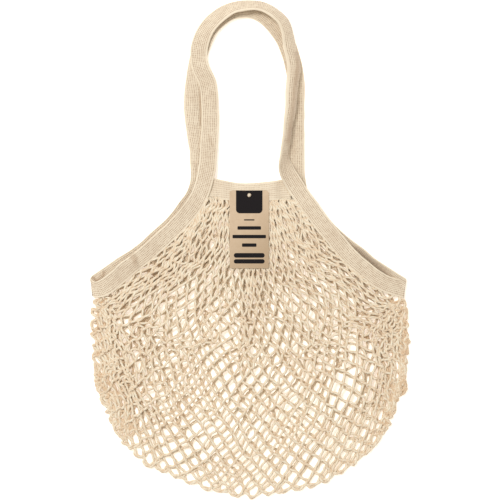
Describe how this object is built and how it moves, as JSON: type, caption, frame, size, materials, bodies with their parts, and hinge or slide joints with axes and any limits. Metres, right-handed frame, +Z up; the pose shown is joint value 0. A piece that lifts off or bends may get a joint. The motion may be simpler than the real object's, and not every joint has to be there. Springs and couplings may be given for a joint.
{
  "type": "cotton net produce bag",
  "caption": "Cotton net shopping bag with long tape handles and a card tag, empty and lying flat on its back, with the mouth open between the handles.",
  "frame": {"origin": "middle of the underside of the bag's box, on the surface that it lies on", "axes": "+X across the bag, +Y from the fold at its bottom up to the handles, +Z up from the surface, out of the shown side"},
  "size_m": [0.4106, 0.6336, 0.0234],
  "materials": {
    "net_cotton": "matt twisted cotton yarn, undyed",
    "tape_cotton": "matt knitted cotton tape with fine ribs, undyed",
    "kraft_card": "uncoated brown card with plain dark print"
  },
  "bodies": {
    "root": {"net": "net_cotton", "tape": "tape_cotton", "front_band": "tape_cotton", "back_band": "tape_cotton", "tag": "kraft_card", "tag_knot": "net_cotton"}
  },
  "joints": []
}
